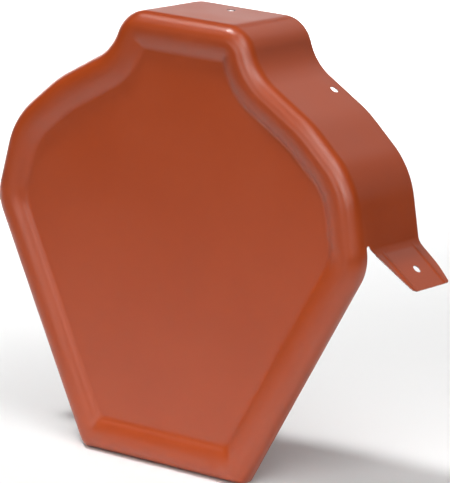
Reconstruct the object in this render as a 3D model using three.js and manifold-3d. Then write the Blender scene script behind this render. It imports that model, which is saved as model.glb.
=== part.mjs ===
// Ridge end cap: one formed sheet of coated steel that closes the gable end of a roof ridge.
// A recessed front panel with a rolled border, a hood that runs back over the ridge,
// and two sloping screw tabs.
// Millimetres, +Z up. The front faces -Y and the hood runs back along +Y.
// The sizes below count y from the crest of the border and z from the foot of the panel.
// The part's own origin is the ridge seat, on the underside of the hood's flat crown.

import * as THREE from "three";
import Module from "manifold-3d";

// Sheet and border
const SHEET = 0.6;
const HEIGHT = 270.5;
const HOOD_DEPTH = 65;
const LIP_DEPTH = { foot: 12.6, notch: 10.6 };
const BORDER_ROUND = { outer: 9.4, inner: 18.8 }; // on either side of the crest
const SLOPE_ANGLE = THREE.MathUtils.degToRad(33);
const RECESS_DEPTH = 4.08;
const RECESS_FOOT_ROUND = 6.4;

// Right half of the front outline, crown corner to foot: place and round of each corner,
// and the least its round comes to as the outline is drawn in
const OUTLINE = {
  crown: { x: 44, z: HEIGHT, round: 20, least: 2 },
  neck: { x: 52.8, z: 245.3, round: 34, least: 0 },
  shoulder: { x: 92, z: 222.1, round: 75, least: 0 },
  haunch: { x: 123.5, z: 193.8, round: 52, least: 0 },
  kink: { x: 134, z: 143.3, round: 30, least: 24 },
  foot: { x: 59.3, z: 0, round: 5.5, least: 5.5 },
};
const NECK_GROWTH = 0.4; // the round of a corner that turns inwards grows by this share of the inset

// Tabs: the sheet leaves the hood wall in a wide bend and slopes down with the roof
const TAB_ANGLE = THREE.MathUtils.degToRad(38);
const TAB_LENGTH = 31.5;
const TAB_FOLD_HEIGHT = 151.5;
const TAB_BEND = 9;
const TAB_ROOT = 6; // length of wall above the bend that belongs to the tab's blank
const TAB_FRONT = { fold: 17.4, end: 24.2 };
const TAB_REAR_TAPER = { start: 18.5, end: 61.4, round: 20 };
const TAB_CORNER = 2;

// Relief notch between the lip and the tab
const NOTCH = { width: 3.8, top: 156.1, round: 1.8 };
const WALL_END = 154.3; // height where the hood wall behind the notch gives way to the tab

// Screw holes
const HOLE_RADIUS = 2.6;
const CROWN_HOLE_Y = 51;
const SHOULDER_HOLE = { x: 73, y: 56 };
const TAB_HOLE = { along: 17.4, y: 42.8 };

// Ridge seat, the part's origin
const SEAT_Y = 30;

// Fineness of the facets, and the reach of the cutting blocks
const STEP_ANGLE = THREE.MathUtils.degToRad(8);
const BORDER_STEPS = 9;
const SLOPE_STEPS = 3;
const HOLE_SIDES = 28;
const PUNCH_REACH = 4;
const FAR = 400;

const wasm = await Module();
wasm.setup();

// Rounded polygons

// The polygon moved inwards by inset: each corner slides along the bisector of its two edges.
function insetCorners(corners, inset) {
  return corners.map((corner, i) => {
    const before = corners[(i + corners.length - 1) % corners.length];
    const after = corners[(i + 1) % corners.length];
    const into = corner.point.clone().sub(before.point).normalize();
    const out = after.point.clone().sub(corner.point).normalize();
    const first = new THREE.Vector2(into.y, -into.x);
    const second = new THREE.Vector2(out.y, -out.x);
    const shift = first.clone().add(second).multiplyScalar(inset / (1 + first.dot(second)));
    const outward = into.cross(out) < 0;
    const round = outward
      ? Math.max(corner.round - inset, corner.least)
      : corner.round + NECK_GROWTH * inset;
    return { point: corner.point.clone().add(shift), round };
  });
}

// A clockwise polygon with an arc at each corner. The count of points depends on the turns alone,
// so two insets of one polygon match point for point.
function roundedLoop(corners) {
  const loop = [];
  corners.forEach((corner, i) => {
    const before = corners[(i + corners.length - 1) % corners.length].point;
    const after = corners[(i + 1) % corners.length].point;
    const into = corner.point.clone().sub(before).normalize();
    const out = after.clone().sub(corner.point).normalize();
    const turn = Math.acos(THREE.MathUtils.clamp(into.dot(out), -1, 1));
    const side = Math.sign(into.cross(out));
    if (!corner.round) {
      loop.push(corner.point.clone());
      return;
    }
    const steps = Math.max(2, Math.ceil(turn / STEP_ANGLE));
    const start = corner.point.clone().addScaledVector(into, -corner.round * Math.tan(turn / 2));
    const left = new THREE.Vector2(-into.y, into.x);
    for (let k = 0; k <= steps; k++) {
      const swung = (turn * k) / steps;
      const along = corner.round * Math.sin(swung);
      const across = side * corner.round * (1 - Math.cos(swung));
      loop.push(start.clone().addScaledVector(into, along).addScaledVector(left, across));
    }
  });
  return loop;
}

const corner = (x, y, round = 0, least = 0) => ({ point: new THREE.Vector2(x, y), round, least });
const rightSide = Object.values(OUTLINE).map(({ x, z, round, least }) => corner(x, z, round, least));
const leftSide = Object.values(OUTLINE).map(({ x, z, round, least }) => corner(-x, z, round, least));
const frontOutline = [...rightSide, ...leftSide.reverse()];

// The pressed shell

// Section through the border, from the recess floor out to the hood's back edge.
// Each stop is an inset from the outline, a depth behind the crest, and the way its front side faces.
function borderSection() {
  const stops = [];
  const add = (inset, depth, angle) => {
    stops.push({ inset, depth, faceInset: Math.sin(angle), faceDepth: -Math.cos(angle) });
  };
  const { outer, inner } = BORDER_ROUND;
  const fall = RECESS_DEPTH - (inner + RECESS_FOOT_ROUND) * (1 - Math.cos(SLOPE_ANGLE));
  const slopeRun = fall / Math.tan(SLOPE_ANGLE);
  const footInset = outer + slopeRun + (inner + RECESS_FOOT_ROUND) * Math.sin(SLOPE_ANGLE);
  for (let k = 0; k <= SLOPE_STEPS; k++) {
    const angle = (SLOPE_ANGLE * k) / SLOPE_STEPS;
    const inset = footInset - RECESS_FOOT_ROUND * Math.sin(angle);
    add(inset, RECESS_DEPTH - RECESS_FOOT_ROUND * (1 - Math.cos(angle)), angle);
  }
  for (let k = 0; k <= SLOPE_STEPS; k++) {
    const angle = SLOPE_ANGLE * (1 - k / SLOPE_STEPS);
    add(outer + inner * Math.sin(angle), inner * (1 - Math.cos(angle)), angle);
  }
  for (let k = 1; k <= BORDER_STEPS; k++) {
    const angle = (-Math.PI / 2) * (k / BORDER_STEPS);
    add(outer * (1 + Math.sin(angle)), outer * (1 - Math.cos(angle)), angle);
  }
  add(0, HOOD_DEPTH, -Math.PI / 2);
  return stops;
}

// One ring of the shell: the outline inset and set back, on the front side or a distance behind it.
function shellRing(stop, behind) {
  const inset = stop.inset - behind * stop.faceInset;
  const isRim = stop.depth === HOOD_DEPTH;
  const depth = isRim ? HOOD_DEPTH : stop.depth - behind * stop.faceDepth;
  return roundedLoop(insetCorners(frontOutline, inset)).map((p) => new THREE.Vector3(p.x, depth, p.y));
}

// The closed shell: front floor, front rings, the rim, back rings, back floor.
function pressedShell() {
  const section = borderSection();
  const rings = [
    ...section.map((stop) => shellRing(stop, 0)),
    ...section.map((stop) => shellRing(stop, SHEET)).reverse(),
  ];
  const count = rings[0].length;
  const indices = [];
  for (let r = 0; r + 1 < rings.length; r++) {
    for (let i = 0; i < count; i++) {
      const a = r * count + i;
      const b = r * count + ((i + 1) % count);
      indices.push(a, a + count, b, b, a + count, b + count);
    }
  }
  const last = (rings.length - 1) * count;
  const floor = rings[0].map((p) => new THREE.Vector2(p.x, p.z));
  const backFloor = rings[rings.length - 1].map((p) => new THREE.Vector2(p.x, p.z));
  facets(floor).forEach(([a, b, c]) => indices.push(a, b, c));
  facets(backFloor).forEach(([a, b, c]) => indices.push(last + a, last + c, last + b));
  return solid(rings.flat(), indices);
}

// Solids and cutting blocks

// Triangles that fill a flat loop, turning the same way round as the loop does.
function facets(loop) {
  const { area, triangulateShape } = THREE.ShapeUtils;
  const turn = Math.sign(area(loop));
  return triangulateShape(loop, []).map(([a, b, c]) => {
    const agrees = Math.sign(area([loop[a], loop[b], loop[c]])) === turn;
    return agrees ? [a, b, c] : [a, c, b];
  });
}

function solid(points, indices) {
  const vertProperties = new Float32Array(points.flatMap((p) => [p.x, p.y, p.z]));
  const triVerts = new Uint32Array(indices);
  const made = new wasm.Manifold(new wasm.Mesh({ numProp: 3, vertProperties, triVerts }));
  if (made.volume() > 0) return made;
  for (let i = 0; i < triVerts.length; i += 3) {
    [triVerts[i + 1], triVerts[i + 2]] = [triVerts[i + 2], triVerts[i + 1]];
  }
  return new wasm.Manifold(new wasm.Mesh({ numProp: 3, vertProperties, triVerts }));
}

// A flat loop swept straight along one axis into a prism.
// place puts a loop point at a distance along the axis.
function prism(loop, from, to, place) {
  const count = loop.length;
  const points = [...loop.map((p) => place(p, from)), ...loop.map((p) => place(p, to))];
  const indices = [];
  for (let i = 0; i < count; i++) {
    const next = (i + 1) % count;
    indices.push(i, next, count + i, next, count + next, count + i);
  }
  facets(loop).forEach(([a, b, c]) => indices.push(a, c, b, count + a, count + b, count + c));
  return solid(points, indices);
}

const alongX = (p, x) => new THREE.Vector3(x, p.x, p.y);
const alongY = (p, y) => new THREE.Vector3(p.x, y, p.y);

// A punch: a round block about an axis through a point.
function punch(centre, axis) {
  const turned = new THREE.Quaternion().setFromUnitVectors(new THREE.Vector3(0, 0, 1), axis);
  const loop = Array.from({ length: HOLE_SIDES }, (_, i) => {
    const angle = (-2 * Math.PI * i) / HOLE_SIDES;
    return new THREE.Vector2(HOLE_RADIUS * Math.cos(angle), HOLE_RADIUS * Math.sin(angle));
  });
  const place = (p, w) => new THREE.Vector3(p.x, p.y, w).applyQuaternion(turned).add(centre);
  return prism(loop, -PUNCH_REACH, PUNCH_REACH, place);
}

const notchRear = LIP_DEPTH.notch + NOTCH.width;

// All that is trimmed off the hood: everything behind the lip and below the tabs' folds,
// with the round-topped relief notch.
function trimBlock() {
  const lipLean = (LIP_DEPTH.foot - LIP_DEPTH.notch) / NOTCH.top;
  const loop = roundedLoop([
    corner(LIP_DEPTH.foot + lipLean * FAR, -FAR),
    corner(LIP_DEPTH.notch, NOTCH.top, NOTCH.round),
    corner(notchRear, NOTCH.top, NOTCH.round),
    corner(notchRear, WALL_END),
    corner(FAR, WALL_END),
    corner(FAR, -FAR),
  ]);
  return prism(loop, -FAR, FAR, alongX);
}

// The tabs

const wallTop = new THREE.Vector2(OUTLINE.haunch.x, OUTLINE.haunch.z);
const wallDown = new THREE.Vector2(OUTLINE.kink.x, OUTLINE.kink.z).sub(wallTop).normalize();
const tabDown = new THREE.Vector2(Math.cos(TAB_ANGLE), -Math.sin(TAB_ANGLE));
const fold = wallTop.clone().addScaledVector(wallDown, (TAB_FOLD_HEIGHT - wallTop.y) / wallDown.y);
const bendTurn = wallDown.angleTo(tabDown);
const bendReach = TAB_BEND * Math.tan(bendTurn / 2);

// End-on profile of the right tab: a strip of sheet from the wall, round the bend and down the slope.
function tabProfile() {
  const top = fold.clone().addScaledVector(wallDown, -(bendReach + TAB_ROOT));
  const end = fold.clone().addScaledVector(tabDown, TAB_LENGTH);
  const wallIn = new THREE.Vector2(wallDown.y, -wallDown.x).multiplyScalar(SHEET);
  const under = new THREE.Vector2(tabDown.y, -tabDown.x).multiplyScalar(SHEET);
  const foldUnder = fold.clone().addScaledVector(
    wallIn.clone().add(under),
    1 / (1 + Math.cos(bendTurn)),
  );
  return roundedLoop([
    corner(top.x, top.y),
    { point: fold, round: TAB_BEND },
    corner(end.x, end.y),
    corner(end.x + under.x, end.y + under.y),
    { point: foldUnder, round: TAB_BEND + SHEET },
    corner(top.x + wallIn.x, top.y + wallIn.y),
  ]);
}

// Side-on outline of a tab's blank: straight at the back, tapered at the front, rounded at its outer end.
function tabBlank() {
  const heightAt = (along) => TAB_FOLD_HEIGHT - along * Math.sin(TAB_ANGLE);
  const low = heightAt(TAB_LENGTH) - SHEET * Math.cos(TAB_ANGLE);
  const loop = roundedLoop([
    corner(notchRear, FAR),
    corner(HOOD_DEPTH, FAR),
    corner(HOOD_DEPTH, heightAt(TAB_REAR_TAPER.start), TAB_REAR_TAPER.round),
    corner(TAB_REAR_TAPER.end, low, TAB_CORNER),
    corner(TAB_FRONT.end, low, TAB_CORNER),
    corner(TAB_FRONT.fold, TAB_FOLD_HEIGHT, TAB_CORNER),
    corner(notchRear, WALL_END, TAB_CORNER / 2),
  ]);
  return prism(loop, -FAR, FAR, alongX);
}

function tab(side) {
  const profile = tabProfile().map((p) => new THREE.Vector2(side * p.x, p.y));
  if (side < 0) profile.reverse();
  return prism(profile, notchRear, HOOD_DEPTH, alongY).intersect(tabBlank());
}

// Screw holes: one in the crown, one in each shoulder, one in each tab
function screwPunches() {
  const punches = [punch(new THREE.Vector3(0, CROWN_HOLE_Y, HEIGHT), new THREE.Vector3(0, 0, 1))];
  const { neck, shoulder } = OUTLINE;
  const slope = (shoulder.z - neck.z) / (shoulder.x - neck.x);
  const shoulderZ = neck.z + slope * (SHOULDER_HOLE.x - neck.x);
  const tabHole = fold.clone().addScaledVector(tabDown, TAB_HOLE.along);
  for (const side of [1, -1]) {
    const shoulderFace = new THREE.Vector3(-side * slope, 0, 1).normalize();
    const tabFace = new THREE.Vector3(-side * tabDown.y, 0, tabDown.x);
    const shoulderCentre = new THREE.Vector3(side * SHOULDER_HOLE.x, SHOULDER_HOLE.y, shoulderZ);
    const tabCentre = new THREE.Vector3(side * tabHole.x, TAB_HOLE.y, tabHole.y);
    punches.push(punch(shoulderCentre, shoulderFace), punch(tabCentre, tabFace));
  }
  return punches;
}

// The finished cap

function endCap() {
  let cap = pressedShell().subtract(trimBlock());
  for (const side of [1, -1]) cap = cap.add(tab(side));
  for (const tool of screwPunches()) cap = cap.subtract(tool);
  const { numProp, vertProperties, triVerts } = cap.getMesh();
  const geometry = new THREE.BufferGeometry();
  const buffer = new THREE.InterleavedBuffer(vertProperties, numProp);
  geometry.setAttribute("position", new THREE.InterleavedBufferAttribute(buffer, 3, 0));
  geometry.setIndex(new THREE.BufferAttribute(triVerts, 1));
  return geometry.toNonIndexed();
}

const coating = new THREE.MeshStandardMaterial({ color: 0x9f4a2d, roughness: 0.38, metalness: 0.0 });
const mesh = new THREE.Mesh(endCap(), coating);
mesh.name = "end_cap";

const part = new THREE.Group();
part.name = "ridge_end_cap";
mesh.position.set(0, -SEAT_Y, SHEET - HEIGHT);
part.add(mesh);

export default part;
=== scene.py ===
"""Ridge end cap: one formed sheet of coated steel on a pale studio floor.

The sheet is worked out as whole arrays: rings drawn in from the front outline make the panel and its border,
and a flat blank of hood, notch and tab is bent round the same outline. The right half is mirrored and given
the sheet's thickness.
"""

import math

import bpy
import numpy as np
from bpy.props import FloatProperty, FloatVectorProperty, PointerProperty
from mathutils import Matrix, Vector


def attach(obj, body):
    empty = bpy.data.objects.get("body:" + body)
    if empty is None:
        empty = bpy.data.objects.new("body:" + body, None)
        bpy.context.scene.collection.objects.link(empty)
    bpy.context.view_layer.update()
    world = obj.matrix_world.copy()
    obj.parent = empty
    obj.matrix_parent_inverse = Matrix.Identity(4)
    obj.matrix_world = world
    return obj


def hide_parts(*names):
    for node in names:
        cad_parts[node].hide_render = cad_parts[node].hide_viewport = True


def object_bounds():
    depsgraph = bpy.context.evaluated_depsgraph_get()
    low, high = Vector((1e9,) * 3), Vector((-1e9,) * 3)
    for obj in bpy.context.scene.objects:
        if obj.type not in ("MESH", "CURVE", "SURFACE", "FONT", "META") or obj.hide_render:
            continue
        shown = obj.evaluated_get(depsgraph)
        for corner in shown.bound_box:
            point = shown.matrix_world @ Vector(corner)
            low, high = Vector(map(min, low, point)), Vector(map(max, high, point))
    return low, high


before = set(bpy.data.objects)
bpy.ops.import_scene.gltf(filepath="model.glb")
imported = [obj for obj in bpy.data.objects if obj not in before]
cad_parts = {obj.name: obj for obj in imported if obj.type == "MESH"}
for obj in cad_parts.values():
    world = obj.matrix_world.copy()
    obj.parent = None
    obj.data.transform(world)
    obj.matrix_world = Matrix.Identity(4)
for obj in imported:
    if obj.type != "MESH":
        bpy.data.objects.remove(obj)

bl_info = {
    "name": "Ridge End Cap",
    "version": (1, 0, 0),
    "blender": (4, 5, 0),
    "location": "3D View > Sidebar > Ridge Cap",
    "description": "Forms a ridge end cap from one coated steel sheet and sets it on a studio floor",
    "category": "Object",
}

MM = 0.001
CAD_LOW, CAD_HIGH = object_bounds()
CAD_SIZE = CAD_HIGH - CAD_LOW

# Half the outline has 13 runs, straights and rounds in turn, and six corners
RUNS = 13
CROWN_RUN, CROWN_CORNER_RUN, SHOULDER_RUN, WALL_RUN = 0, 1, 4, 8
NECK, HAUNCH = 1, 3

# Steps between the knots of each grid in turn, and even steps by run where a run has no knots
CROWN_STEPS = [5, 3, 8]
SHOULDER_STEPS = [3, 2, 10, 2, 4]
WALL_STEPS = [6, 3, 5, 1]
EVEN_STEPS = {1: 18, 2: 1, 3: 12, 5: 5, 6: 5, 7: 13, 9: 14, 10: 44, 11: 14, 12: 18}
FOOT_STEPS, CREST_STEPS, BORDER_STEPS, LIP_STEPS = 7, 10, 14, 4
TAB_STEPS = [8, 6, 2, 10, 2, 4, 6]
ROW_STEPS = [10, 20, 4, 10, 2, 10, 10, 5]
CLOSE_ROWS_END = 30 * MM

# How far past a hole or the notch the grid eases back to square
HOLE_EASE = 2.6 * MM
NOTCH_EASE = 1.7 * MM

# The tab's front edge leaves the hood, then turns, at these distances past the fold
FRONT_LEAVES, FRONT_TURNS = -2.5 * MM, 0.6 * MM
# Rows shallower than the first depth move with the tab's front edge, and deeper than the second with its rear
FRONT_ROWS, REAR_ROWS = 36 * MM, 58.6 * MM
# The ribs begin this far before the tab's flat, and reach their height over the second length
RIB_LEAD, RIB_EASE = 4 * MM, 5 * MM

# Points this near are one point, and points this near the middle plane lie on it
SAME_POINT = 1e-8
ON_MIDDLE = 1e-7
SHARP_EDGE = math.radians(50)

# The floor in metres: half its width, its drop below the part, and where it fades into the white
FLOOR_REACH, FLOOR_DROP = 4.0, 0.0002
FADE_MIDDLE = (-0.4, 0.8, CAD_LOW.z)
FADE_FROM, FADE_TO = 1.05, 1.6

# Lights that look at the cap's middle: name, setting, width and height in metres, bearing from the front to
# the left and rise above level in degrees, distance in metres, and fan in degrees
CAP_LIGHTS = (
    ("key_light", "key", (0.45, 0.45), 61.6, 67.2, 4.0, 24),
    ("high_softbox", "high", (0.9, 0.9), -62, 70, 2.0, 70),
    ("low_softbox", "low", (1.0, 0.56), 10, 6, 2.0, 70),
    ("front_softbox", "front", (1.1, 0.9), -10, 32, 2.0, 70),
    ("camera_softbox", "beside", (0.9, 0.7), -33, 20, 2.0, 70),
    ("side_softbox", "side", (0.9, 0.56), -64, 22, 2.0, 70),
    ("upper_right_softbox", "upper", (1.0, 0.7), -48, 48, 2.0, 70),
    ("corner_softbox", "corner", (0.4, 0.4), 45, 38, 2.0, 70),
    ("left_softbox", "left", (0.6, 0.6), 120, 8, 2.0, 180),
    ("backdrop_softbox", "backdrop", (1.8, 0.8), 146, 10, 2.4, 180),
    ("upper_back_softbox", "above", (1.2, 1.0), 178, 38, 2.0, 180),
    ("rear_softbox", "rear", (1.2, 1.0), -150, 22, 2.0, 180),
)
# Lights on the floor: name, setting, width, place and target in metres, and fan in degrees
FLOOR_LIGHTS = (
    ("floor_front_softbox", "floor_front", 0.3, (0.9, -0.6, 1.2), (0.25, -0.45, -0.27), 40),
    ("floor_left_softbox", "floor_near", 0.4, (-0.7, 0.3, 0.5), (-0.7, 0.3, 0), 70),
    ("floor_right_softbox", "floor_near", 0.4, (0.65, 0.4, 0.5), (0.65, 0.4, 0), 70),
    ("floor_back_softbox", "floor_back", 1.4, (-0.8, 1.5, 1.3), (-0.8, 1.5, 0), 70),
)

SENSOR_WIDTH = 36.0
CAMERA_FAR = 100.0


# Settings


def length(name, description, millimetres):
    return FloatProperty(
        name=name, description=description, default=millimetres * MM, min=0.0, precision=5, unit="LENGTH"
    )


def angle(name, description, degrees):
    return FloatProperty(name=name, description=description, default=math.radians(degrees), unit="ROTATION")


def share(name, description, default):
    return FloatProperty(
        name=name, description=description, default=default, min=0.0, max=1.0, subtype="FACTOR"
    )


def power(name, description, default):
    return FloatProperty(name=name, description=description, default=default, min=0.0, unit="POWER")


def place(name, description, *millimetres):
    return FloatVectorProperty(
        name=name,
        description=description,
        size=len(millimetres),
        default=[v * MM for v in millimetres],
        precision=5,
        unit="LENGTH",
    )


def colour(name, description, *linear):
    return FloatVectorProperty(
        name=name, description=description, default=linear, min=0.0, max=1.0, subtype="COLOR"
    )


class CapSizes(bpy.types.PropertyGroup):
    """Sizes of the formed sheet. Depth counts back from the border's crest, height up from the foot."""

    sheet: length("Sheet", "Thickness of the steel sheet", 0.6)
    depth: length("Depth", "From the border's crest to the hood's back edge", CAD_SIZE.y / MM)

    crown: place("Crown corner", "Sideways, up, and round of the corner", 44, CAD_SIZE.z / MM, 20)
    neck: place("Neck corner", "Sideways, up, and round of the corner", 52.8, 245.3, 34)
    shoulder: place("Shoulder corner", "Sideways, up, and round of the corner", 92, 222.1, 75)
    haunch: place("Haunch corner", "Sideways, up, and round of the corner", 123.5, 193.8, 52)
    kink: place("Kink corner", "Sideways, up, and round of the corner", 134, 143.3, 30)
    foot: place("Foot corner", "Sideways, up, and round of the corner", 59.3, 0, 5.5)
    least_rounds: place(
        "Least rounds", "Smallest round of the crown, kink and foot corners drawn in", 2, 24, 5.5
    )
    neck_growth: share("Neck growth", "How fast the neck's round grows as it is drawn in", 0.40)

    border_round: length("Border round", "Radius of the rolled border outside its crest", 9.4)
    crest_round: length("Crest round", "Radius of the border inside its crest", 18.8)
    slope: angle("Slope", "Lean of the slope down to the panel", 33)
    recess: length("Recess", "Depth of the panel behind the border's crest", 4.08)
    recess_round: length("Recess round", "Radius where the slope meets the panel", 6.4)

    lip_foot: length("Lip at the foot", "Depth of the lip at the foot", 12.6)
    lip_notch: length("Lip at the notch", "Depth of the lip where the notch begins", 10.6)
    notch_width: length("Notch width", "Width of the relief notch", 3.8)
    notch_top: length("Notch top", "Height of the notch's round end", 156.1)

    tab_angle: angle("Tab slope", "Fall of the tab from level", 38)
    tab_length: length("Tab length", "From the fold to the tab's end", 31.5)
    tab_fold: length("Tab fold", "Height of the fold", 151.5)
    tab_bend: length("Tab bend", "Radius of the bend at the fold", 9)
    tab_front: place("Tab front edge", "Depth at the notch, at the fold and at the end", 14.4, 17.4, 24.2)
    tab_rear: place(
        "Tab rear edge", "Taper's start down the tab, depth at the end, softness of the turn", 18.5, 61.4, 4
    )
    tab_corner: length("Tab corner", "Round of the tab's two corners", 2)
    rib_front: length("Front rib", "Depth where the tab's front rib runs", 25.3)
    rib_rear: length("Rear rib", "Depth where the tab's rear rib runs", 57.3)
    rib_width: length("Rib width", "Width of each rib", 3.6)
    rib_rise: length("Rib rise", "How far each rib is pressed out", 0.35)

    hole: length("Screw hole", "Radius of the screw holes", 2.6)
    crown_hole: length("Crown hole", "Depth of the crown's hole", 51)
    shoulder_hole: place("Shoulder hole", "Sideways and depth of the hole", 73, 56)
    tab_hole: place("Tab hole", "Down the tab and depth of the hole", 17.4, 42.8)


class CapFinish(bpy.types.PropertyGroup):
    """Finish of the sheet."""

    coat: colour("Coat", "Red-brown coating of the front", 0.37, 0.0535, 0.0086)
    coat_deep: colour("Coat, deep", "Where the coating lies a little thicker", 0.345, 0.0485, 0.0072)
    back: colour("Back coat", "Plainer coating of the back", 0.33, 0.052, 0.018)
    steel: colour("Steel", "Bare steel of the cut edges", 0.42, 0.41, 0.40)
    gloss: share("Roughness", "Roughness of the satin coating", 0.34)


class StageLook(bpy.types.PropertyGroup):
    """Floor, light and camera."""

    floor: colour("Floor", "Pale floor", 0.86, 0.86, 0.86)
    paper: colour("Paper", "White paper behind the floor", 1.0, 1.0, 1.0)
    key: power("Key light", "Soft light high on the left", 1.95)
    high: power("High light", "Softbox high on the right", 0.8)
    low: power("Low front light", "Wide softbox low in front", 0.76)
    front: power("Front light", "Wide softbox in front", 1.05)
    beside: power("Camera light", "Softbox by the camera", 1.6)
    side: power("Side light", "Softbox on the right", 0.6)
    upper: power("Upper right light", "Softbox above on the right", 1.75)
    corner: power("Corner light", "Small softbox high on the front left", 0.15)
    left: power("Left light", "Low softbox behind on the left", 5)
    backdrop: power("Backdrop light", "Wide softbox low behind", 6.0)
    above: power("Upper back light", "Softbox high behind", 2.8)
    rear: power("Rear light", "Softbox behind on the right", 1.3)
    floor_front: power("Front floor light", "Light on the floor in front", 0.1875)
    floor_near: power("Side floor lights", "Light on the floor at each side", 1.25)
    floor_back: power("Back floor light", "Light on the floor behind", 16)
    eye: place("Camera", "Place of the camera", 1277.765, -1810.883, 355.736)
    yaw: angle("Yaw", "Turn of the camera to the side", 34.791)
    pitch: angle("Pitch", "Fall of the camera's line", 12.499)
    roll: angle("Roll", "Lean of the camera", -3.248)
    lens: FloatProperty(
        name="Lens",
        description="Focal length in mm on a 36 mm frame",
        default=284.66,
        min=1.0,
        subtype="DISTANCE_CAMERA",
    )


# The outline and the blank


def spread(knots, cells):
    """Values through the knots in order, with the given count of even steps between each two."""
    return np.interp(np.arange(sum(cells) + 1), np.cumsum([0, *cells]), knots)


class Outline:
    """Right half of the front outline, from the crown's middle to the foot's middle.

    It has 13 runs in turn: straight, round, straight and so on, with a round at each of the six corners.
    A station is a run and a share of the way along it.
    """

    def __init__(self, sizes):
        corners = np.array([sizes.crown, sizes.neck, sizes.shoulder, sizes.haunch, sizes.kink, sizes.foot])
        self.points, self.rounds = corners[:, :2], corners[:, 2]
        flip = np.array([-1, 1])
        ring = np.vstack([self.points[:1] * flip, self.points, self.points[-1:] * flip])
        ways = np.diff(ring, axis=0)
        ways /= np.linalg.norm(ways, axis=1, keepdims=True)
        self.into, self.out = ways[:-1], ways[1:]
        inward = np.stack([ways[:, 1], -ways[:, 0]], axis=1)
        facing = np.sum(inward[:-1] * inward[1:], axis=1, keepdims=True)
        self.slide = (inward[:-1] + inward[1:]) / (1 + facing)
        self.side = np.sign(self.into[:, 0] * self.out[:, 1] - self.into[:, 1] * self.out[:, 0])
        self.turn = np.arccos(np.sum(self.into * self.out, axis=1))
        crown, kink, foot = sizes.least_rounds
        self.least, self.growth = np.array([crown, 0, 0, 0, kink, foot]), sizes.neck_growth
        start, end = self.at(np.arange(RUNS), np.zeros(RUNS)), self.at(np.arange(RUNS), np.ones(RUNS))
        self.lengths = np.linalg.norm(end - start, axis=2)[0]
        self.lengths[1::2] = self.rounds * self.turn
        self.offsets = np.concatenate([[0], np.cumsum(self.lengths)])

    def at(self, run, part, inset=0.0):
        """Points of the outline drawn in by each inset: rows are insets, columns are stations.

        Each corner slides along the bisector of its edges by inset. An outward corner's round shrinks by the
        inset, down to its least round, and an inward corner's round grows with it.
        """
        inset = np.atleast_1d(inset)[:, None]
        shrunk = np.maximum(self.rounds - inset, self.least)
        radius = np.where(self.side < 0, shrunk, self.rounds + self.growth * inset)
        corner = self.points + inset[..., None] * self.slide
        reach = (radius * np.tan(self.turn / 2))[..., None]
        start, end = corner - reach * self.into, corner + reach * self.out
        middle = np.array([0, 1])
        run_from = np.concatenate([start[:, :1] * middle, end], axis=1)
        run_to = np.concatenate([start, end[:, -1:] * middle], axis=1)
        which = run // 2
        straight = run_from[:, which] + (run_to - run_from)[:, which] * part[:, None]
        which = np.minimum(which, len(self.points) - 1)
        swung = (self.turn[which] * part)[:, None]
        left = np.stack([-self.into[:, 1], self.into[:, 0]], axis=1) * self.side[:, None]
        swing = np.sin(swung) * self.into[which] + (1 - np.cos(swung)) * left[which]
        rounded = start[:, which] + radius[:, which, None] * swing
        return np.where((run % 2 == 1)[:, None], rounded, straight)

    def along(self, distance):
        """Points at distances along the outline itself, of any array shape."""
        flat = np.clip(np.ravel(distance), 0, self.offsets[-1])
        run = np.clip(np.searchsorted(self.offsets, flat, side="right") - 1, 0, RUNS - 1)
        return self.at(run, (flat - self.offsets[run]) / self.lengths[run])[0].reshape(*np.shape(distance), 2)

    def start_of(self, run):
        """First point of a run."""
        return self.at(np.array([run]), np.zeros(1))[0, 0]


class Blank:
    """The hood and tab as one bent strip: along the outline to the bend, round it, and down the tab."""

    def __init__(self, sizes, outline):
        self.outline = outline
        down = outline.out[HAUNCH]
        self.tab_way = np.array([math.cos(sizes.tab_angle), -math.sin(sizes.tab_angle)])
        self.face = np.array([-self.tab_way[1], self.tab_way[0]])
        self.bend = sizes.tab_bend
        self.turn = math.acos(down @ self.tab_way)
        self.reach = self.bend * math.tan(self.turn / 2)
        drop = (sizes.tab_fold - outline.points[HAUNCH, 1]) / down[1]
        before = np.linalg.norm(outline.start_of(WALL_RUN) - outline.points[HAUNCH])
        self.bend_start = outline.offsets[WALL_RUN] + drop - before - self.reach
        self.tab_start = self.bend_start + self.bend * self.turn
        self.down = down
        self.left = np.array([-down[1], down[0]])

    def from_fold(self, distance):
        """Strip distance of a point measured down the tab from its fold."""
        return self.tab_start + distance - self.reach

    def along(self, distance):
        """Points along the strip: the outline, then an arc that turns outwards, then the straight tab."""
        swung = np.clip((distance - self.bend_start) / self.bend, 0, self.turn)[..., None]
        past = np.maximum(distance - self.tab_start, 0)[..., None]
        arc = self.bend * (np.sin(swung) * self.down + (1 - np.cos(swung)) * self.left)
        return self.outline.along(np.minimum(distance, self.bend_start)) + arc + past * self.tab_way


def round_off(along, deep, block, centre, half, fade):
    """Moves points of the flat blank so that a square block of the grid turns round.

    A point on a square of half-width m about the block's centre goes to the circle of radius m, wholly at the
    block's edge and less and less out to fade past it. The circle is about centre, which may lie a little off
    the block's own.
    """
    a, b = along - block[0], deep - block[1]
    square = np.maximum(np.abs(a), np.abs(b))
    ratio = square / np.maximum(np.hypot(a, b), 1e-12)
    weight = np.clip((half + fade - square) / fade, 0, 1)
    weight = weight * weight * (3 - 2 * weight)
    return (
        along + weight * (a * (ratio - 1) + centre[0] - block[0]),
        deep + weight * (b * (ratio - 1) + centre[1] - block[1]),
    )


# The half sheet


def cells(rows, columns):
    """Corner numbers of every cell of a grid, as an array of rows, columns and four corners."""
    number = np.arange(rows * columns).reshape(rows, columns)
    return np.stack([number[:-1, :-1], number[:-1, 1:], number[1:, 1:], number[1:, :-1]], axis=-1)


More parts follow.
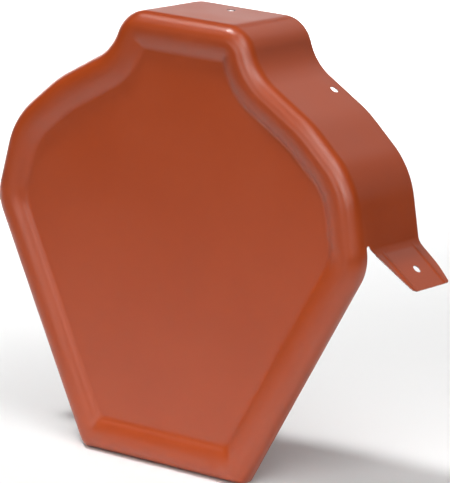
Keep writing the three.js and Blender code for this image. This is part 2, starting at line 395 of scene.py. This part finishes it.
def border_section(sizes):
    """Inset and depth of the border's section, from the panel outwards.

    A round lifts off the panel to the slope's angle, the slope runs straight, a wider round brings it level
    at the crest, and the border's own round turns it square with the panel.
    """
    outer, inner, foot, lean = sizes.border_round, sizes.crest_round, sizes.recess_round, sizes.slope
    fall = sizes.recess - (inner + foot) * (1 - math.cos(lean))
    panel_edge = outer + fall / math.tan(lean) + (inner + foot) * math.sin(lean)
    lift = spread([0, lean], [FOOT_STEPS])
    ease = spread([lean, 0], [CREST_STEPS])
    roll = spread([0, -math.pi / 2], [BORDER_STEPS])[1:]
    lifted = np.stack([panel_edge - foot * np.sin(lift), sizes.recess - foot * (1 - np.cos(lift))])
    eased = np.stack([outer + inner * np.sin(ease), inner * (1 - np.cos(ease))])
    rolled = np.stack([outer * (1 + np.sin(roll)), outer * (1 - np.cos(roll))])
    return np.concatenate([lifted, eased, rolled], axis=1)


def half_sheet(sizes):
    """Outer face of the right half: points, four-cornered faces. It joins three grids by their shared rows.

    The front grid carries the border's section round the whole outline and on along the lip. The panel is a
    patch blended from its four edges. The hood grid is the flat blank, with the notch and the screw holes
    left out of it, bent along the strip.
    """
    outline = Outline(sizes)
    blank = Blank(sizes, outline)
    notch = sizes.notch_width / 2
    hole, eased_hole = sizes.hole, sizes.hole + HOLE_EASE

    # Columns of the grid, as stations of the outline
    crown, shoulder, wall = outline.lengths[[CROWN_RUN, SHOULDER_RUN, WALL_RUN]]
    notch_at = (outline.start_of(WALL_RUN)[1] - sizes.notch_top) / -outline.out[HAUNCH][1]
    hole_at = (sizes.shoulder_hole[0] - outline.start_of(SHOULDER_RUN)[0]) / outline.out[NECK][0]
    shoulder_knots = [
        0,
        hole_at - eased_hole,
        hole_at - hole,
        hole_at + hole,
        hole_at + eased_hole,
        shoulder,
    ]
    wall_knots = [0, notch_at - NOTCH_EASE, notch_at, notch_at + notch, wall]
    steps = {
        CROWN_RUN: spread([0, hole, eased_hole, crown], CROWN_STEPS) / crown,
        SHOULDER_RUN: spread(shoulder_knots, SHOULDER_STEPS) / shoulder,
        WALL_RUN: spread(wall_knots, WALL_STEPS) / wall,
    }
    steps.update({run: np.linspace(0, 1, count + 1) for run, count in EVEN_STEPS.items()})
    run = np.concatenate([np.full(len(steps[r]) - 1, r) for r in range(RUNS)] + [[RUNS - 1]])
    part = np.concatenate([steps[r][:-1] for r in range(RUNS)] + [[1.0]])
    distance = outline.offsets[run] + outline.lengths[run] * part
    first_column = np.cumsum([0] + [len(steps[r]) - 1 for r in range(RUNS)])
    notch_column = first_column[WALL_RUN] + sum(WALL_STEPS[:2])
    notch_centre = (distance[notch_column] + notch, sizes.lip_notch + notch)

    def trim(along, deep):
        """Rounds the notch's end: only what lies above the middle of its end moves."""
        moved = round_off(along, deep, notch_centre, notch_centre, notch, NOTCH_EASE)
        return [np.where(along < notch_centre[0], new, old) for new, old in zip(moved, (along, deep))]

    # Front grid
    inset, section_deep = border_section(sizes)
    rings = outline.at(run, part, inset)
    ring_deep = np.broadcast_to(section_deep[:, None], rings.shape[:2])
    front = np.stack([rings[..., 0], ring_deep, rings[..., 1]], axis=-1)
    lean = (sizes.lip_foot - sizes.lip_notch) / sizes.notch_top
    lip = sizes.lip_notch + lean * np.maximum(sizes.notch_top - rings[-1, :, 1], 0)
    share_out = np.arange(1, LIP_STEPS + 1)[:, None] / LIP_STEPS
    lip_along = np.broadcast_to(distance, (LIP_STEPS, len(distance)))
    along, deep = trim(lip_along, sizes.border_round + (lip - sizes.border_round) * share_out)
    level = outline.along(along)
    front = np.concatenate([front, np.stack([level[..., 0], deep, level[..., 1]], axis=-1)])

    # Panel, a patch blended from the crown's edge, the side, the foot's edge and the middle line.
    # It turns from an edge to the side half way round the corner.
    edge = front[0]
    across = first_column[CROWN_CORNER_RUN] + EVEN_STEPS[CROWN_CORNER_RUN] // 2
    top, side = edge[: across + 1], edge[across : len(edge) - across]
    bottom = edge[len(edge) - 1 - across :][::-1]
    measure = np.concatenate([[0], np.cumsum(np.linalg.norm(np.diff(side, axis=0), axis=1))])
    v = (measure / measure[-1])[:, None, None]
    u = (top[:, 0] / top[-1, 0])[None, :, None]
    middle = edge[0] + (edge[-1] - edge[0]) * v
    corners = (1 - v) * ((1 - u) * top[0] + u * top[-1]) + v * ((1 - u) * bottom[0] + u * bottom[-1])
    panel = (1 - v) * top + v * bottom + (1 - u) * middle + u * side[:, None] - corners
    panel[0], panel[-1], panel[:, -1] = top, bottom, side
    panel[:, 0, 0] = 0.0

    # Hood grid
    tab_hole = blank.from_fold(sizes.tab_hole[0])
    tab_end = blank.from_fold(sizes.tab_length)
    tab_columns = spread(
        [
            notch_centre[0],
            blank.tab_start,
            tab_hole - eased_hole,
            tab_hole - hole,
            tab_hole + hole,
            tab_hole + eased_hole,
            tab_end - sizes.tab_corner,
            tab_end,
        ],
        TAB_STEPS,
    )
    strip = np.concatenate([distance[: notch_column + WALL_STEPS[2]], tab_columns])
    crown_row = sizes.shoulder_hole[1] - 2 * hole
    rows = spread(
        [
            sizes.lip_notch,
            sizes.tab_front[0],
            CLOSE_ROWS_END,
            sizes.tab_hole[1] - hole,
            sizes.tab_hole[1] + hole,
            crown_row - hole,
            crown_row + hole,
            sizes.shoulder_hole[1] + hole,
            sizes.depth,
        ],
        ROW_STEPS,
    )
    along, deep = np.meshgrid(strip, rows)
    along, deep = trim(along, deep)
    deep = taper_tab(sizes, blank, along, deep, tab_end)
    shoulder_hole = outline.offsets[SHOULDER_RUN] + hole_at
    punched = [
        ((0.0, crown_row), (0.0, sizes.crown_hole)),
        ((shoulder_hole, sizes.shoulder_hole[1]), None),
        ((tab_hole, sizes.tab_hole[1]), None),
    ]
    keep = np.ones((len(rows) - 1, len(strip) - 1), bool)
    cell_along = (strip[:-1] + strip[1:]) / 2
    cell_deep = (rows[:-1] + rows[1:]) / 2
    for block, centre in punched:
        in_column = np.abs(cell_along - block[0]) < hole
        in_row = np.abs(cell_deep - block[1]) < hole
        keep &= ~(in_row[:, None] & in_column)
        along, deep = round_off(along, deep, block, centre or block, hole, HOLE_EASE)
    keep &= ~((cell_deep < sizes.tab_front[0])[:, None] & (cell_along > distance[notch_column]))
    level = blank.along(along) + ribs(sizes, blank, along, deep)[..., None] * blank.face
    hood = np.stack([level[..., 0], deep, level[..., 1]], axis=-1)
    hood[0, : notch_column + 1] = front[-1, : notch_column + 1]

    # Joined by their shared rows
    grids = [front, panel, hood]
    quads = [cells(*g.shape[:2]) for g in grids]
    quads = [quads[0].reshape(-1, 4), quads[1].reshape(-1, 4)[:, ::-1], quads[2][keep]]
    starts = np.cumsum([0] + [g.shape[0] * g.shape[1] for g in grids[:-1]])
    points = np.concatenate([g.reshape(-1, 3) for g in grids])
    faces = np.concatenate([q + s for q, s in zip(quads, starts)])
    joined, number = np.unique(np.round(points / SAME_POINT).astype(np.int64), axis=0, return_inverse=True)
    faces = number.reshape(-1)[faces]
    used, faces = np.unique(faces, return_inverse=True)
    return joined[used] * SAME_POINT, faces.reshape(-1, 4)


def taper_tab(sizes, blank, along, deep, tab_end):
    """Draws the blank's front and rear rows in to the tab's own edges.

    The front edge runs in two straight lines from the notch to the tab's end. The rear edge is straight, then
    turns softly to its taper. Both edges round off over the last corner's length. Rows near an edge move with
    it, and those in the middle stay.
    """
    past_fold = along - blank.from_fold(0)
    notch, fold, end = sizes.tab_front
    front = np.interp(past_fold, [FRONT_LEAVES, FRONT_TURNS, sizes.tab_length], [notch, fold, end])
    turn_at, rear_end, soft = sizes.tab_rear
    fall = (sizes.depth - rear_end) / (sizes.tab_length - turn_at)
    beyond = past_fold - turn_at
    rear = sizes.depth - fall * (beyond + np.sqrt(beyond**2 + soft**2)) / 2
    rear = np.where(past_fold > -blank.reach, rear, sizes.depth)
    last = np.clip(along - (tab_end - sizes.tab_corner), 0, sizes.tab_corner)
    corner = sizes.tab_corner - np.sqrt(np.maximum(sizes.tab_corner**2 - last**2, 0))
    front_fade = np.clip((FRONT_ROWS - deep) / (FRONT_ROWS - notch), 0, 1)
    rear_fade = np.clip((deep - REAR_ROWS) / (sizes.depth - REAR_ROWS), 0, 1)
    moved = deep + (front + corner - notch) * front_fade + (rear - corner - sizes.depth) * rear_fade
    return np.where(deep < notch, deep, moved)


def ribs(sizes, blank, along, deep):
    """How far the tab is pressed out: a raised-cosine rib at each of two depths, fading in past the bend."""
    begin = np.clip((along - blank.tab_start + RIB_LEAD) / RIB_EASE, 0, 1)
    begin = begin * begin * (3 - 2 * begin)
    places = (sizes.rib_front, sizes.rib_rear)
    across = [np.clip(np.abs(deep - at) / (sizes.rib_width / 2), 0, 1) for at in places]
    return sizes.rib_rise * begin * sum(0.5 + 0.5 * np.cos(math.pi * x) for x in across)


# The whole sheet


def mirrored(points, faces):
    """Adds the left half. Points on the middle plane are shared, and the copied faces turn round."""
    off_middle = np.abs(points[:, 0]) > ON_MIDDLE
    twin = np.where(off_middle, len(points) + np.cumsum(off_middle) - 1, np.arange(len(points)))
    both = np.concatenate([points, points[off_middle] * (-1, 1, 1)])
    return both, np.concatenate([faces, twin[faces][:, ::-1]])


def face_normals(points, faces):
    """Mean outward direction at each point, each face counting by its area."""
    corner = points[faces]
    normal = np.cross(corner[:, 2] - corner[:, 0], corner[:, 3] - corner[:, 1])
    total = np.stack(
        [np.bincount(faces.ravel(), np.repeat(normal[:, axis], 4), len(points)) for axis in range(3)], axis=1
    )
    return total / np.linalg.norm(total, axis=1, keepdims=True)


def thickened(points, faces, thickness):
    """Closes the face into a sheet: the same face turned round a thickness behind, and a rim on free edges.

    An edge is free where no face runs along it the other way. Returns points, faces, and each face's finish:
    0 for the front, 1 for the back and 2 for the cut rim.
    """
    count = len(points)
    behind = points - thickness * face_normals(points, faces)
    edge_from, edge_to = faces.ravel(), np.roll(faces, -1, axis=1).ravel()
    free = ~np.isin(edge_from * count + edge_to, edge_to * count + edge_from)
    a, b = edge_from[free], edge_to[free]
    rim = np.stack([b, a, a + count, b + count], axis=1)
    made = np.concatenate([faces, faces[:, ::-1] + count, rim])
    return np.concatenate([points, behind]), made, np.repeat([0, 1, 2], [len(faces), len(faces), len(rim)])


def quad_mesh(name, points, faces, finish):
    """A mesh of four-cornered faces, smooth but for the sheet's cut edges."""
    mesh = bpy.data.meshes.new(name)
    mesh.vertices.add(len(points))
    mesh.vertices.foreach_set("co", points.astype(np.float32).ravel())
    mesh.loops.add(faces.size)
    mesh.loops.foreach_set("vertex_index", faces.astype(np.int32).ravel())
    mesh.polygons.add(len(faces))
    mesh.polygons.foreach_set("loop_start", np.arange(0, faces.size, 4, dtype=np.int32))
    mesh.polygons.foreach_set("material_index", finish.astype(np.int32))
    mesh.update(calc_edges=True)
    if mesh.validate():
        raise RuntimeError(f"{name} has faces that do not close")
    mesh.shade_smooth()
    mesh.set_sharp_from_angle(angle=SHARP_EDGE)
    return mesh


# Finishes


class Value:
    """A number that changes over a surface. Arithmetic on it adds Math nodes."""

    def __init__(self, finish, socket):
        self.finish, self.socket = finish, socket

    def math(self, operation, first, second):
        made = self.finish.node("ShaderNodeMath", {"operation": operation}, {0: first, 1: second})
        return Value(self.finish, made.outputs[0])

    def __add__(self, other):
        return self.math("ADD", self, other)

    def __rsub__(self, other):
        return self.math("SUBTRACT", other, self)

    def __mul__(self, other):
        return self.math("MULTIPLY", self, other)

    __radd__ = __add__

    def between(self, low, high):
        """0 below low, 1 above high, and smooth between."""
        made = self.finish.node(
            "ShaderNodeMapRange",
            {"interpolation_type": "SMOOTHSTEP"},
            {"Value": self, "From Min": low, "From Max": high},
        )
        return Value(self.finish, made.outputs[0])


class Finish:
    """One material's node tree."""

    def __init__(self, name):
        self.material = bpy.data.materials.new(name)
        self.material.use_nodes = True
        self.tree = self.material.node_tree
        self.tree.nodes.clear()
        self.place = self.node("ShaderNodeTexCoord").outputs["Object"]

    def node(self, kind, settings=None, sockets=None):
        """Adds a node, sets it up, then gives its sockets their values or links."""
        made = self.tree.nodes.new(kind)
        for key, value in (settings or {}).items():
            setattr(made, key, value)
        for key, value in (sockets or {}).items():
            value = value.socket if isinstance(value, Value) else value
            if isinstance(value, bpy.types.NodeSocket):
                self.tree.links.new(value, made.inputs[key])
            else:
                made.inputs[key].default_value = value
        return made

    def noise(self, scale, detail=2.0, rough=0.5):
        made = self.node(
            "ShaderNodeTexNoise",
            {"noise_dimensions": "3D"},
            {"Vector": self.place, "Scale": scale, "Detail": detail, "Roughness": rough},
        )
        return Value(self, made.outputs[0])

    def away(self, middle):
        """How far a place is from a middle."""
        made = self.node("ShaderNodeVectorMath", {"operation": "DISTANCE"}, {0: self.place, 1: middle})
        return Value(self, made.outputs["Value"])

    def blend(self, amount, first, second):
        """A colour between two, by amount."""
        made = self.node("ShaderNodeMix", {"data_type": "RGBA"}, {0: amount, 6: first, 7: second})
        return made.outputs[2]

    def bump(self, height, strength, reach):
        sockets = {"Height": height, "Strength": strength, "Distance": reach}
        return self.node("ShaderNodeBump", {}, sockets).outputs[0]

    def surface(self, **sockets):
        named = {name.replace("_", " "): value for name, value in sockets.items()}
        shader = self.node("ShaderNodeBsdfPrincipled", {}, named)
        self.node("ShaderNodeOutputMaterial", {}, {"Surface": shader.outputs[0]})
        return self.material


def rgba(value):
    return (*value, 1.0)


def satin_coat(look):
    """Satin coil coating: an even red-brown with faint drifts of tone, a fine peel and an uneven gloss.

    Its tone is three parts drift to one part grain.
    """
    finish = Finish("satin_coat")
    drift = finish.noise(scale=22, detail=3.0).between(0.3, 0.7)
    grain = finish.noise(scale=1500)
    peel = finish.noise(scale=420, detail=3.0, rough=0.6)
    wave = finish.noise(scale=16, detail=1.0)
    tone = drift * 0.75 + grain * 0.25
    height = peel * 0.02 + grain * 0.01 + wave * 0.5
    return finish.surface(
        Base_Color=finish.blend(tone, rgba(look.coat_deep), rgba(look.coat)),
        Roughness=look.gloss - 0.03 + drift * 0.04 + grain * 0.03,
        Normal=finish.bump(height, strength=0.25, reach=1.5 * MM),
        IOR=1.58,
    )


def plain_back(look):
    """Thinner back coating: duller, with more of the sheet's own unevenness."""
    finish = Finish("plain_back")
    drift = finish.noise(scale=30, detail=4.0).between(0.25, 0.75)
    grain = finish.noise(scale=1100, detail=3.0)
    tone = drift * 0.6 + grain * 0.4
    return finish.surface(
        Base_Color=finish.blend(tone, rgba([v * 0.85 for v in look.back]), rgba(look.back)),
        Roughness=look.gloss + 0.1 + grain * 0.06,
        Normal=finish.bump(grain, strength=0.1, reach=0.2 * MM),
        IOR=1.5,
    )


def cut_edge(look):
    """Sheared steel with the coating drawn a little over it."""
    finish = Finish("cut_edge")
    drawn = finish.noise(scale=700, detail=3.0).between(0.4, 0.65)
    return finish.surface(
        Base_Color=finish.blend(drawn, rgba(look.steel), rgba(look.coat_deep)),
        Roughness=0.42 + drawn * 0.1,
        Metallic=0.85 - drawn * 0.8,
        Normal=finish.bump(drawn, strength=0.2, reach=0.1 * MM),
    )


def pale_floor(look):
    """Matt pale paper with a trace of tone, which fades into the white behind it."""
    finish = Finish("pale_floor")
    tone = finish.noise(scale=3)
    return finish.surface(
        Base_Color=finish.blend(tone, rgba([v * 0.98 for v in look.floor]), rgba(look.floor)),
        Roughness=0.9,
        Specular_IOR_Level=0.1,
        Alpha=1.0 - finish.away(FADE_MIDDLE).between(FADE_FROM, FADE_TO),
    )


# Pieces and stage


def show(name, mesh, materials):
    made = bpy.data.objects.new(name, mesh)
    bpy.context.scene.collection.objects.link(made)
    for material in materials:
        mesh.materials.append(material)
    return made


class CAP_OT_form_sheet(bpy.types.Operator):
    """Form the cap's sheet: panel, border, lip, hood and tabs, with its coating and cut edges"""

    bl_idname = "ridge_cap.form_sheet"
    bl_label = "Form the Sheet"

    def execute(self, context):
        sizes, look = context.scene.cap_sizes, context.scene.cap_finish
        points, faces = mirrored(*half_sheet(sizes))
        points = points + np.array([0.0, CAD_LOW.y, CAD_LOW.z])
        mesh = quad_mesh("formed_sheet", *thickened(points, faces, sizes.sheet))
        sheet = show("formed_sheet", mesh, [satin_coat(look), plain_back(look), cut_edge(look)])
        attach(sheet, "root")
        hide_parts("end_cap")
        return {"FINISHED"}


def softbox(name, size, energy, eye, target, fan):
    """A rectangular light that looks from eye to target and fans out by an angle."""
    light = bpy.data.lights.new(name, "AREA")
    light.shape = "RECTANGLE"
    light.size, light.size_y = size
    light.energy, light.spread = energy, fan
    made = bpy.data.objects.new(name, light)
    made.location = eye
    made.rotation_euler = (target - eye).to_track_quat("-Z", "Y").to_euler()
    bpy.context.scene.collection.objects.link(made)


class CAP_OT_set_stage(bpy.types.Operator):
    """Set the stage: pale floor, soft lights and the camera"""

    bl_idname = "ridge_cap.set_stage"
    bl_label = "Set the Stage"

    def execute(self, context):
        look = context.scene.cap_stage
        self.lay_floor(look)
        self.light(context, look)
        self.aim_camera(context, look)
        context.scene.view_settings.view_transform = "Standard"
        return {"FINISHED"}

    def lay_floor(self, look):
        level = CAD_LOW.z - FLOOR_DROP
        corners = np.array([[-1, -1, 0], [1, -1, 0], [1, 1, 0], [-1, 1, 0]]) * FLOOR_REACH + [0, 0, level]
        mesh = quad_mesh("floor", corners, np.array([[0, 1, 2, 3]]), np.zeros(1))
        show("floor", mesh, [pale_floor(look)])

    def light(self, context, look):
        world = context.scene.world = bpy.data.worlds.new("white_paper")
        world.use_nodes = True
        world.node_tree.nodes["Background"].inputs["Color"].default_value = rgba(look.paper)
        world.cycles_visibility.diffuse = world.cycles_visibility.glossy = False
        middle = (CAD_LOW + CAD_HIGH) / 2
        for name, setting, size, bearing, rise, away, fan in CAP_LIGHTS:
            turn, lift = math.radians(bearing), math.radians(rise)
            way = Vector(
                (-math.sin(turn) * math.cos(lift), -math.cos(turn) * math.cos(lift), math.sin(lift))
            )
            softbox(name, size, getattr(look, setting), middle + way * away, middle, math.radians(fan))
        for name, setting, size, eye, target, fan in FLOOR_LIGHTS:
            energy = getattr(look, setting)
            softbox(name, (size, size), energy, Vector(eye), Vector(target), math.radians(fan))

    def aim_camera(self, context, look):
        """Right is level, turned by yaw; the line of sight falls by pitch; both lean by roll about it."""
        sight = Vector(
            (
                -math.sin(look.yaw) * math.cos(look.pitch),
                math.cos(look.yaw) * math.cos(look.pitch),
                -math.sin(look.pitch),
            )
        )
        level = Vector((math.cos(look.yaw), math.sin(look.yaw), 0))
        fall = sight.cross(level)
        right = level * math.cos(look.roll) + fall * math.sin(look.roll)
        down = fall * math.cos(look.roll) - level * math.sin(look.roll)
        lens = bpy.data.cameras.new("camera")
        lens.lens, lens.sensor_width, lens.clip_end = look.lens, SENSOR_WIDTH, CAMERA_FAR
        camera = bpy.data.objects.new("camera", lens)
        turned = Matrix((right, -down, -sight)).transposed().to_4x4()
        camera.matrix_world = Matrix.Translation(look.eye) @ turned
        context.scene.collection.objects.link(camera)
        context.scene.camera = camera


class CAP_PT_sidebar(bpy.types.Panel):
    """The cap's settings and steps"""

    bl_idname = "CAP_PT_sidebar"
    bl_label = "Ridge End Cap"
    bl_space_type = "VIEW_3D"
    bl_region_type = "UI"
    bl_category = "Ridge Cap"

    def draw(self, context):
        for title, group, step in (
            ("Sizes", context.scene.cap_sizes, None),
            ("Finish", context.scene.cap_finish, CAP_OT_form_sheet),
            ("Stage", context.scene.cap_stage, CAP_OT_set_stage),
        ):
            box = self.layout.box()
            box.label(text=title)
            for name in group.__annotations__:
                box.prop(group, name)
            if step:
                box.operator(step.bl_idname)


CLASSES = (CapSizes, CapFinish, StageLook, CAP_OT_form_sheet, CAP_OT_set_stage, CAP_PT_sidebar)
SETTINGS = {"cap_sizes": CapSizes, "cap_finish": CapFinish, "cap_stage": StageLook}


def register():
    for cls in CLASSES:
        bpy.utils.register_class(cls)
    for name, group in SETTINGS.items():
        setattr(bpy.types.Scene, name, PointerProperty(type=group))


def unregister():
    for name in SETTINGS:
        delattr(bpy.types.Scene, name)
    for cls in reversed(CLASSES):
        bpy.utils.unregister_class(cls)


def main():
    register()
    bpy.ops.ridge_cap.set_stage()
    bpy.ops.ridge_cap.form_sheet()


if __name__ == "__main__":
    main()
